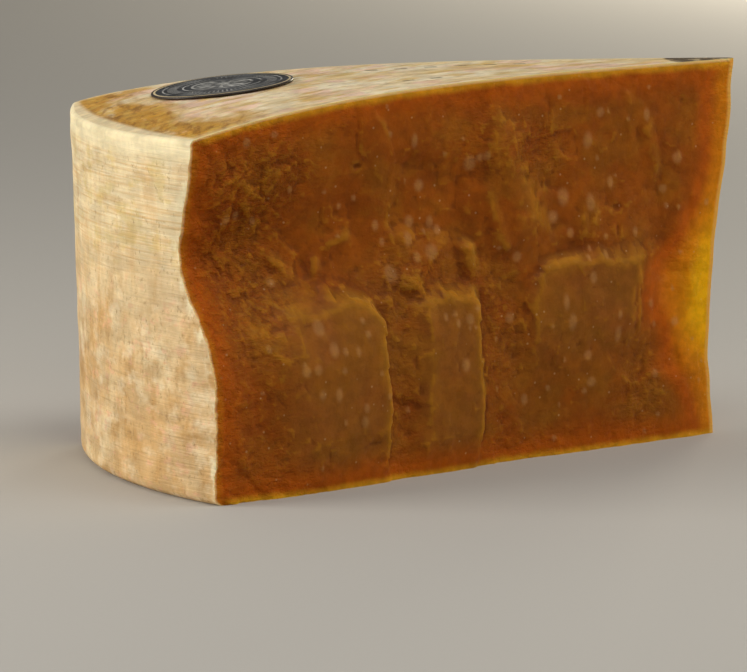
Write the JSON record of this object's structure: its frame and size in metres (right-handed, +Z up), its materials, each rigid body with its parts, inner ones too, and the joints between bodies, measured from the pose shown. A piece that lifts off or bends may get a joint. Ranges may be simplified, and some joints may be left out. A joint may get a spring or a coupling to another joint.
{
  "type": "sbrinz chunk",
  "caption": "Wedge broken out of a large extra-hard cheese wheel, standing on its flat face, with its natural rind, craggy broken sides and a round label on top.",
  "frame": {"origin": "middle of the box's underside, on the flat face the chunk stands on", "axes": "+X from the curved rind towards the thin edge that was the middle of the wheel, -Y out of the shown broken side, +Z up"},
  "size_m": [0.2667, 0.1566, 0.15],
  "materials": {
    "cheese": null,
    "label": "thin slate grey label with pale rings"
  },
  "bodies": {
    "root": {"cheese": "cheese", "label": "label"}
  },
  "joints": []
}
